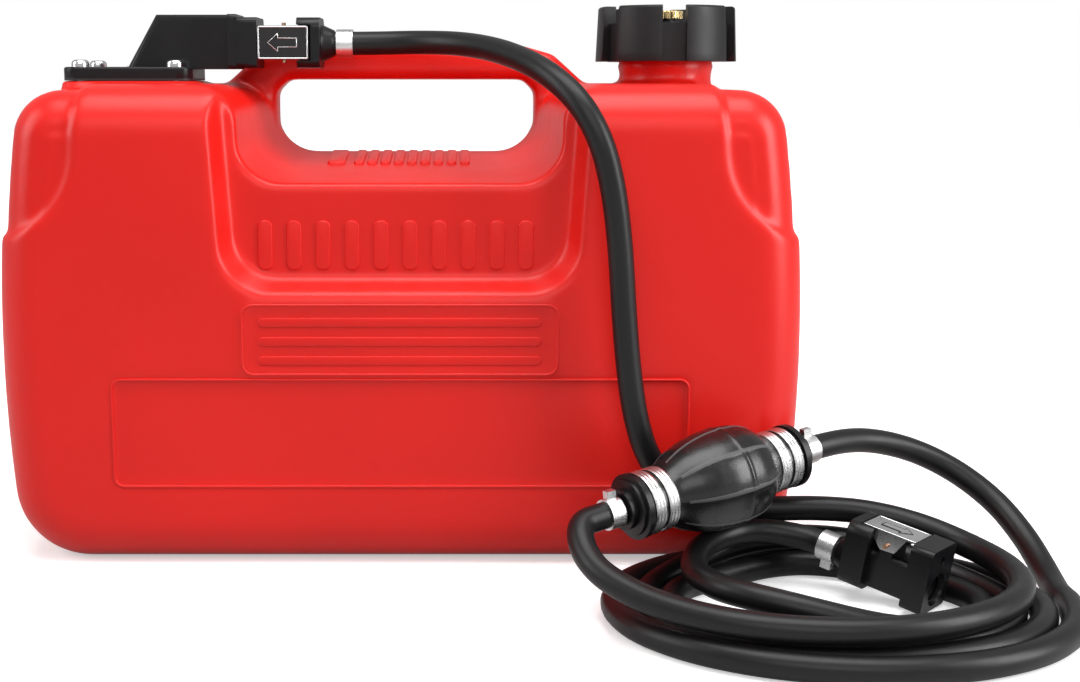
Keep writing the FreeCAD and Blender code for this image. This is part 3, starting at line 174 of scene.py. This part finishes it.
camera_data = bpy.data.cameras.new("camera")
camera = link(bpy.data.objects.new("camera", camera_data))
camera.location = (0.029, -0.800, 0.226)
camera.rotation_euler = (math.radians(90 - TILT_DEG), 0, 0)
camera_data.sensor_width = SENSOR
camera_data.lens = SENSOR * FOCAL_PIXELS / FRAME_WIDTH
camera_data.shift_x = CENTRE_SHIFT_PIXELS / FRAME_WIDTH
camera_data.clip_start = 0.02
SCENE.camera = camera


def area_light(name, place, target, size, power):
    data = bpy.data.lights.new(name, "AREA")
    data.shape = "RECTANGLE"
    data.size, data.size_y = size
    data.energy = power
    lamp = link(bpy.data.objects.new(name, data))
    lamp.location = place
    lamp.rotation_euler = (Vector(target) - Vector(place)).to_track_quat("-Z", "Y").to_euler()
    return lamp


area_light("key_top", (0.10, -0.30, 1.30), (0.05, -0.02, 0.1), (1.2, 0.8), 15)
area_light("side_right", (1.05, -0.50, 0.50), (0.05, 0, 0.12), (0.4, 0.8), 9.5)
area_light("side_left", (-1.05, -0.30, 0.60), (0, 0, 0.12), (0.4, 0.8), 4.5)
area_light("front_soft", (0.0, -1.7, 0.95), (0.03, 0, 0.14), (1.4, 0.7), 7.5)

world = bpy.data.worlds.new("studio")
SCENE.world = world
world.use_nodes = True
back = world.node_tree.nodes["Background"]
back.inputs["Color"].default_value = (1, 1, 1, 1)


MIRROR_SHARE = 0.3
SOFT_LIGHT = 0.22


def ray_mask(tree):
    """1 on camera and see-through rays, part of that on mirror rays, 0 on the rest."""
    path = tree.nodes.new("ShaderNodeLightPath")
    seen = tree.nodes.new("ShaderNodeMath")
    seen.operation = "MAXIMUM"
    tree.links.new(path.outputs["Is Camera Ray"], seen.inputs[0])
    tree.links.new(path.outputs["Is Transmission Ray"], seen.inputs[1])
    total = tree.nodes.new("ShaderNodeMath")
    total.operation = "MULTIPLY_ADD"
    total.inputs[1].default_value = MIRROR_SHARE
    tree.links.new(path.outputs["Is Glossy Ray"], total.inputs[0])
    tree.links.new(seen.outputs[0], total.inputs[2])
    return total.outputs[0]


level = world.node_tree.nodes.new("ShaderNodeMapRange")
level.inputs["To Min"].default_value = SOFT_LIGHT
level.inputs["To Max"].default_value = 1.0
world.node_tree.links.new(ray_mask(world.node_tree), level.inputs["Value"])
world.node_tree.links.new(level.outputs["Result"], back.inputs["Strength"])

floor = mesh_object("floor", [(-6, -6, 0), (6, -6, 0), (6, 6, 0), (-6, 6, 0)], [(0, 1, 2, 3)], False)
floor_mat = bpy.data.materials.new("floor")
floor_mat.use_nodes = True
floor_shader = floor_mat.node_tree.nodes["Principled BSDF"]
floor_shader.inputs["Base Color"].default_value = (0.93, 0.93, 0.93, 1)
floor_shader.inputs["Roughness"].default_value = 0.9
floor_shader.inputs["Specular IOR Level"].default_value = 0.1
# Painted light: the floor glows white to camera rays and to a share of mirror rays. The glow is weak
# near the tank and rises with distance, fading the floor into the white backdrop.
floor_shader.inputs["Emission Color"].default_value = (1, 1, 1, 1)
floor_tree = floor_mat.node_tree
floor_mask = ray_mask(floor_tree)
floor_coord = floor_tree.nodes.new("ShaderNodeTexCoord")
floor_far = floor_tree.nodes.new("ShaderNodeVectorMath")
floor_far.operation = "DISTANCE"
floor_far.inputs[1].default_value = (0.06, -0.15, 0)
floor_tree.links.new(floor_coord.outputs["Object"], floor_far.inputs[0])
floor_glow_falloff = floor_tree.nodes.new("ShaderNodeMapRange")
floor_glow_falloff.interpolation_type = "SMOOTHSTEP"
floor_glow_falloff.inputs["From Min"].default_value = 0.30
floor_glow_falloff.inputs["From Max"].default_value = 0.95
floor_glow_falloff.inputs["To Min"].default_value = 0.42
floor_glow_falloff.inputs["To Max"].default_value = 1.1
floor_tree.links.new(floor_far.outputs["Value"], floor_glow_falloff.inputs["Value"])
floor_glow_strength = floor_tree.nodes.new("ShaderNodeMath")
floor_glow_strength.operation = "MULTIPLY"
floor_tree.links.new(floor_mask, floor_glow_strength.inputs[0])
floor_tree.links.new(floor_glow_falloff.outputs["Result"], floor_glow_strength.inputs[1])
floor_tree.links.new(floor_glow_strength.outputs[0], floor_shader.inputs["Emission Strength"])
floor_tone = floor_tree.nodes.new("ShaderNodeMix")
floor_tone.data_type = "RGBA"
floor_tone.inputs["A"].default_value = (0.42, 0.42, 0.42, 1)
floor_tone.inputs["B"].default_value = (0.93, 0.93, 0.93, 1)
floor_tree.links.new(floor_mask, floor_tone.inputs["Factor"])
floor_tree.links.new(floor_tone.outputs["Result"], floor_shader.inputs["Base Color"])
floor.data.materials.append(floor_mat)


# Hoses on one smooth line each, control points of the same routes as the solids

HOSE_D = 11.5
BULB_IN = Vector((88.5, -165.7, 43.5))
BULB_OUT = Vector((190.5, -105.7, 58.8))
BULB_AXIS = (BULB_OUT - BULB_IN).normalized()
BULB_SPAN = (BULB_OUT - BULB_IN).length
CON_AXIS = Vector((0.7432438, -0.6460920, -0.1736482))
CON_ORIGIN = Vector((231.6, -165.0, 10.6))
CON_LENGTH = 46
CON_HOSE = CON_ORIGIN - CON_AXIS * CON_LENGTH

TANK_ROUTE = [
    (-33.98, -26, 243.5), (-14, -26, 243.5), (8, -31, 244.0), (30, -47, 243.0),
    (49, -73, 238.5), (66, -100, 230.0), (80.5, -115, 216.5), (90, -119, 199),
    (95.5, -118, 178), (99, -116.5, 152), (101, -115.5, 124), (103.5, -115, 98),
    (107, -114.5, 75), (113.5, -112.5, 55), (126, -110.3, 40), (146, -108, 31.5),
    (169, -107, 30), (193, -106.7, 30.5), (217, -108.5, 29), (239, -117, 25),
    (256, -132, 20), (265, -153, 17.9), (264.5, -176, 17.8), (256, -197, 17.8),
    (240, -215, 17.8), (217, -229, 17.8), (190, -236, 17.8), (162, -236, 17.9),
    (137, -229.5, 18.2), (115.5, -218.5, 19.3), (97, -205.5, 22.3), (80.5, -190, 29.5),
    BULB_IN - BULB_AXIS * 14, BULB_IN, BULB_IN + BULB_AXIS * 9]

LEAD_ROUTE = [
    BULB_OUT - BULB_AXIS * 9, BULB_OUT + BULB_AXIS * 9, (219, -89, 59), (242, -83, 53),
    (263, -85, 43), (279, -97, 31), (287, -115, 19), (289.3, -131.5, 10.5),
    (289, -145, 6.5), (287, -158, 5.75)]


COIL_CENTRE = (186.5, -170.0)
COIL_HALVES = (101.3, 78.8)
COIL_PITCH = 12.3
COIL_TURNS = 3.5
COIL_STEPS = 20
BACK_ANGLE = 75
BACK_DRAW = 5.0
BACK_LIFT = 10.3
END_LIFT = 13.2
END_LIFT_FROM = 3.08
END_LIFT_OVER = 0.36


def coil_point(turns):
    """Same coil rule as the solid: turns narrow inwards, the second is raised at the back."""
    angle = -360.0 * turns
    off_back = abs((angle + 90) % 360 - 180)
    lean = 0.0
    if off_back < BACK_ANGLE:
        lean = 0.5 * (1 + math.cos(math.pi * off_back / BACK_ANGLE))
    phase = math.radians(angle)
    half_x, half_y = (half - turns * COIL_PITCH for half in COIL_HALVES)
    radius = 1 / math.hypot(math.cos(phase) / half_x, math.sin(phase) / half_y)
    radius += turns * BACK_DRAW * lean * lean
    z = 0.5 * HOSE_D
    if int(turns) == 1:
        z += BACK_LIFT * lean * (2 - lean)
    rise = min(1.0, max(0.0, (turns - END_LIFT_FROM) / END_LIFT_OVER))
    z += END_LIFT * rise * rise * (3 - 2 * rise)
    return (COIL_CENTRE[0] + radius * math.cos(phase), COIL_CENTRE[1] + radius * math.sin(phase), z)


COIL_ROUTE = [coil_point(index / COIL_STEPS) for index in range(int(COIL_TURNS * COIL_STEPS) + 1)]
TAIL_START = Vector(coil_point(COIL_TURNS))
TAIL_ROUTE = [
    TAIL_START + Vector((0, 11.5, 0)), (131.2, -146.3, 19.8),
    (136.6, -135.2, 21.3), (145.2, -126.6, 22.6), (156.3, -121.0, 23.3),
    (168.6, -119.6, 23.2), CON_HOSE - CON_AXIS * 16.5, CON_HOSE - CON_AXIS * 8, CON_HOSE]


def hose(name, route):
    data = bpy.data.curves.new(name, "CURVE")
    data.dimensions = "3D"
    line = data.splines.new("NURBS")
    line.points.add(len(route) - 1)
    for point, place in zip(line.points, route):
        point.co = (*[c * MM for c in place], 1)
    line.order_u = 3
    line.use_endpoint_u = True
    line.resolution_u = 10
    data.resolution_u = 10
    data.bevel_depth = 0.5 * HOSE_D * MM
    data.bevel_resolution = 7
    data.use_fill_caps = True
    return link(bpy.data.objects.new(name, data))


BULB_NODES = ["bulb_%s_%s" % (end, part) for end in ("inlet", "outlet")
              for part in ("fitting", "bands", "valve", "clamp")]

tank_line = hose("tank_hose_line", TANK_ROUTE)
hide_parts("tank_hose")
finish_piece(tank_line, MATS["hose_rubber"])
engine_line = hose("engine_hose_line", LEAD_ROUTE + COIL_ROUTE + TAIL_ROUTE)
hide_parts("engine_hose_lead", "engine_hose_coil", "engine_hose_tail")
finish_piece(engine_line, MATS["hose_rubber"])


# Primer bulb: turned profile with raised moulding seams, whose faces are painted lighter grey as
# sheen

BULB_ROWS = ((0.0, 0.0), (0.05, 0.15), (0.16, 0.52), (0.30, 0.80), (0.45, 0.96), (0.60, 1.0),
             (0.75, 0.93), (0.87, 0.68), (0.95, 0.28), (1.0, 0.0))
BULB_SIDE = BULB_AXIS.cross(Vector((0, 0, 1))).normalized()
BULB_UP = BULB_SIDE.cross(BULB_AXIS)


NECK_R = 13.5
BULB_SWELL = 9.3
BODY_START = 32.0
BODY_LENGTH = BULB_SPAN - 2 * BODY_START
NECK_START = 17.0
SEAM_COUNT = 8
SEAM_SHARE = 0.055
GIRTH_AT = BODY_START + 0.60 * BODY_LENGTH


def bulb_radius(s):
    """Outer radius of the bulb at s millimetres from the inlet hose face."""
    t = (s - BODY_START) / BODY_LENGTH
    if t <= 0 or t >= 1:
        return NECK_R
    return NECK_R + BULB_SWELL * np.interp(t, [r[0] for r in BULB_ROWS], [r[1] for r in BULB_ROWS])


def turned(rows, around=144, shape=None):
    """Vertices and faces of a skin turned about the bulb axis from (station, radius) rows."""
    verts = []
    for s, r in rows:
        for index in range(around):
            angle = 2 * math.pi * index / around
            rr = r + (shape(s, r, angle) if shape else 0.0)
            out = BULB_SIDE * math.cos(angle) + BULB_UP * math.sin(angle)
            verts.append((BULB_IN + BULB_AXIS * s + out * rr) * MM)
    faces = []
    for row in range(len(rows) - 1):
        for index in range(around):
            a = row * around + index
            b = row * around + (index + 1) % around
            faces.append((a, b, b + around, a + around))
    return verts, faces


def bulb_relief(s, r, angle):
    body = min(1.0, max(0.0, (r - 13.6) / 4.0))
    seam = abs((angle * SEAM_COUNT / (2 * math.pi)) % 1 - 0.5) * 2
    ridge = 0.34 * body * math.exp(-((1 - seam) / 0.05) ** 2)
    girth = 0.30 * math.exp(-((s - GIRTH_AT) / 1.0) ** 2)
    return ridge + girth - 0.35


def make_bulb():
    stations = np.linspace(NECK_START, BULB_SPAN - NECK_START, 220)
    raw = np.array([bulb_radius(s) for s in stations])
    for width in (13, 9):
        pad = width // 2
        raw = np.convolve(np.pad(raw, pad, mode="edge"), np.ones(width) / width, "valid")
    around = 160
    verts, faces = turned(list(zip(stations, raw)), around, bulb_relief)
    for row, flip in ((0, False), (len(stations) - 1, True)):
        hub = len(verts)
        verts.append((BULB_IN + BULB_AXIS * stations[row]) * MM)
        for index in range(around):
            a = row * around + index
            b = row * around + (index + 1) % around
            faces.append((b, a, hub) if not flip else (a, b, hub))
    skin = mesh_object("bulb_skin", verts, faces)
    skin.data.materials.append(MATS["bulb_rubber"])
    skin.data.materials.append(MATS["seam_rubber"])
    # Faces on the seams take the lighter grey material: painted sheen along the real seam ridges
    for face in skin.data.polygons:
        row, column = divmod(face.index, around)
        if row >= len(stations) - 1 or raw[row] < 15.0:
            continue
        seam = abs(((column + 0.5) / around * SEAM_COUNT) % 1 - 0.5) * 2
        if 1 - seam < SEAM_SHARE:
            face.material_index = 1
    return skin


bulb = make_bulb()
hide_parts("primer_bulb")
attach(bulb, "tank")


BAND_STARTS = (18.2, 25.4)
BAND_WIDTH = 5.2
BAND_FOOT_R = 13.45
BAND_STEPS = 26


def make_bands(name, flip):
    """Two pressed steel bands with rolled ribs on one neck of the bulb."""
    verts, faces = [], []
    for first in BAND_STARTS:
        rows = [(first, BAND_FOOT_R)]
        for step in range(BAND_STEPS + 1):
            along = step / BAND_STEPS
            edge = min(1.0, 6 * along, 6 * (1 - along))
            rows.append((first + BAND_WIDTH * along, 13.85 + 0.3 * edge
                         - 0.3 * (0.5 + 0.5 * math.cos(6 * math.pi * along)) * edge))
        rows.append((first + BAND_WIDTH, BAND_FOOT_R))
        if flip:
            rows = [(BULB_SPAN - s, r) for s, r in rows]
        ring_verts, ring_faces = turned(rows)
        faces += [tuple(v + len(verts) for v in face) for face in ring_faces]
        verts += ring_verts
    return mesh_object(name, verts, faces)


for end, flip in (("inlet", False), ("outlet", True)):
    bands = make_bands("bulb_%s_band_pair" % end, flip)
    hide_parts("bulb_%s_bands" % end)
    finish_piece(bands, MATS["clamp_steel"])
    BULB_NODES.remove("bulb_%s_bands" % end)


# Tank skin: the shell remeshed and eased, as a blow moulding is

def soften_tank():
    source = NODES["tank_body"]
    skin = link(bpy.data.objects.new("tank_skin", source.data.copy()))
    weld = skin.modifiers.new("weld", "WELD")
    weld.merge_threshold = 0.00002
    remesh = skin.modifiers.new("remesh", "REMESH")
    remesh.mode = "VOXEL"
    remesh.voxel_size = 0.0015
    remesh.use_smooth_shade = True
    ease = skin.modifiers.new("ease", "SMOOTH")
    ease.factor = 0.5
    ease.iterations = 14
    depsgraph = bpy.context.evaluated_depsgraph_get()
    baked = bpy.data.meshes.new_from_object(skin.evaluated_get(depsgraph))
    skin.modifiers.clear()
    skin.data = baked
    return skin


tank_skin = soften_tank()
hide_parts("tank_body")
finish_piece(tank_skin, MATS["tank_red"])


# Raised trim on the shell faces

def trim_mesh(name, loops_of, place):
    """Raised trim from stacks of matching loops in face coordinates, mapped by place."""
    build = bmesh.new()
    for stack, filled in loops_of:
        rings = [[build.verts.new(place(u, v, h)) for u, v, h in loop] for loop in stack]
        count = len(rings[0])
        for low, high in zip(rings, rings[1:]):
            for index in range(count):
                nxt = (index + 1) % count
                build.faces.new((low[index], low[nxt], high[nxt], high[index]))
        if filled:
            build.faces.new(rings[-1])
    bmesh.ops.recalc_face_normals(build, faces=build.faces)
    mesh = bpy.data.meshes.new(name)
    build.to_mesh(mesh)
    build.free()
    mesh.polygons.foreach_set("use_smooth", [True] * len(mesh.polygons))
    return link(bpy.data.objects.new(name, mesh))


def round_loop(x0, x1, z0, z1, corner, inset, height):
    corner = min(corner, 0.499 * (x1 - x0), 0.499 * (z1 - z0))
    reach = max(0.02, corner - inset)
    shift = inset - (corner - reach)
    loop = []
    for cx, cz, first in ((x1 - corner - shift, z1 - corner - shift, 0),
                          (x0 + corner + shift, z1 - corner - shift, 90),
                          (x0 + corner + shift, z0 + corner + shift, 180),
                          (x1 - corner - shift, z0 + corner + shift, 270)):
        for step in range(7):
            angle = math.radians(first + 15 * step)
            loop.append((cx + reach * math.cos(angle), cz + reach * math.sin(angle), height))
    return loop


def bar_stack(x0, x1, z0, z1, corner, rise):
    """Rounded solid bar."""
    layers = ((0.0, -0.5), (0.0, 0.55 * rise), (0.3 * rise, 0.86 * rise), (0.8 * rise, rise))
    return [round_loop(x0, x1, z0, z1, corner, inset, height) for inset, height in layers], True


def line_stack(x0, x1, z0, z1, corner, width, rise):
    """Thin raised line round a rectangle."""
    layers = ((0.0, -0.6), (0.12 * width, 0.7 * rise), (0.35 * width, rise),
              (0.65 * width, rise), (0.88 * width, 0.7 * rise), (width, -0.6))
    return [round_loop(x0, x1, z0, z1, corner, inset, height) for inset, height in layers], False


FIELD_FACE = -88.0
FRONT_FACE = -100.0
LIP_Z = 190.0
LIP_SLOPE = 0.13


def on_face(y_face):
    """Placing on a front facing wall at y_face."""
    return lambda u, v, h: (u * MM, (y_face - h) * MM, v * MM)


def on_lip(u, v, h):
    """Lower lip of the hand opening, v counted forwards from the mid plane."""
    return (u * MM, -v * MM, (LIP_Z - LIP_SLOPE * v + h) * MM)


ribs = [bar_stack(-66.0 + 13.4 * index, -59.0 + 13.4 * index, 139.0, 162.0, 3.0, 0.9)
        for index in range(10)]
frame_bars = [bar_stack(-65.0, 65.0, 96.2 + 8.9 * index, 100.6 + 8.9 * index, 2.0, 0.6)
              for index in range(3)]
slots = [bar_stack(-24.6 + 6.5 * index, -19.8 + 6.5 * index, 5, 38, 1.4, 1.5) for index in range(9)]
slots.append(bar_stack(-37.5, -29.0, 5, 38, 1.4, 1.5))
TRIM = [("field_ribs", ribs, on_face(FIELD_FACE)),
        ("frame_lines", frame_bars, on_face(FRONT_FACE)),
        ("frame_outline", [line_stack(-73.5, 73.5, 91.0, 125.0, 6.0, 1.7, 0.85)],
         on_face(FRONT_FACE)),
        ("panel_outline", [line_stack(-134.0, 134.0, 38.0, 90.0, 5.0, 1.3, 0.35)],
         on_face(FRONT_FACE)),
        ("lip_bars", slots, on_lip)]
for name, stacks, place in TRIM:
    finish_piece(trim_mesh(name, stacks, place), MATS["tank_red"])


# Latch arrows and edges, drawn in the connector frame

def connector_place(origin, axis, up):
    side = up.cross(axis).normalized()
    upright = axis.cross(side)
    return lambda u, v, h: tuple((origin + axis * u + side * v + upright * h) * MM)


ENGINE_UP = Vector((0.1310539, -0.1139235, 0.9848078))
PLACES = {"tank": connector_place(Vector((-79.98, -26, 243.5)), Vector((-1, 0, 0)),
                                  Vector((0, -1, 0))),
          "engine": connector_place(CON_ORIGIN, CON_AXIS, ENGINE_UP)}
LATCH_TOP = 19.7
LATCH_BASE = 19.5
ARROW_TOP = 19.93
ARROW = ((-15.6, 0.0), (-20.0, 4.0), (-20.0, 1.9), (-29.0, 1.9), (-29.0, -1.9), (-20.0, -1.9),
         (-20.0, -4.0))


def outline_stack(points, width, base, top):
    """Raised line along a closed polygon, width grown outwards from the points."""
    loops = []
    for grow, height in ((0.0, base), (0.1 * width, top), (0.9 * width, top), (width, base)):
        loop = []
        for index, point in enumerate(points):
            here = Vector(point)
            before = (here - Vector(points[index - 1])).normalized()
            after = (Vector(points[(index + 1) % len(points)]) - here).normalized()
            normal = Vector((before.y + after.y, -before.x - after.x)).normalized()
            loop.append((here.x + normal.x * grow, here.y + normal.y * grow, height))
        loops.append(loop)
    return loops, False


for prefix, arrow_mat, edge_mat in (("tank", "screw_steel", "screw_steel"),
                                    ("engine", "latch_black", "screw_steel")):
    arrow = trim_mesh(prefix + "_latch_arrow", [outline_stack(ARROW, 0.5, LATCH_BASE, ARROW_TOP)],
                      PLACES[prefix])
    finish_piece(arrow, MATS[arrow_mat], prefix + "_latch")
    plate_edge = line_stack(-34.6, -10.5, -7.8, 7.8, 0.8, 0.7, 0.12)
    plate_loops = [[(u, v, h + LATCH_TOP if h > 0 else LATCH_BASE) for u, v, h in loop]
                   for loop in plate_edge[0]]
    edge = trim_mesh(prefix + "_latch_edge", [(plate_loops, False)], PLACES[prefix])
    finish_piece(edge, MATS[edge_mat], prefix + "_latch")


# Moulded edges on the sharp solids

def soften_edges(names, width):
    for name in names:
        node = NODES[name]
        weld = node.modifiers.new("weld", "WELD")
        weld.merge_threshold = 0.00001
        bevel = node.modifiers.new("edges", "BEVEL")
        bevel.width = width * MM
        bevel.segments = 2
        bevel.limit_method = "ANGLE"
        bevel.angle_limit = math.radians(40)


soften_edges(["tank_connector_body", "engine_connector_body"], 0.35)
soften_edges(["pickup_housing", "filler_cap"], 0.5)
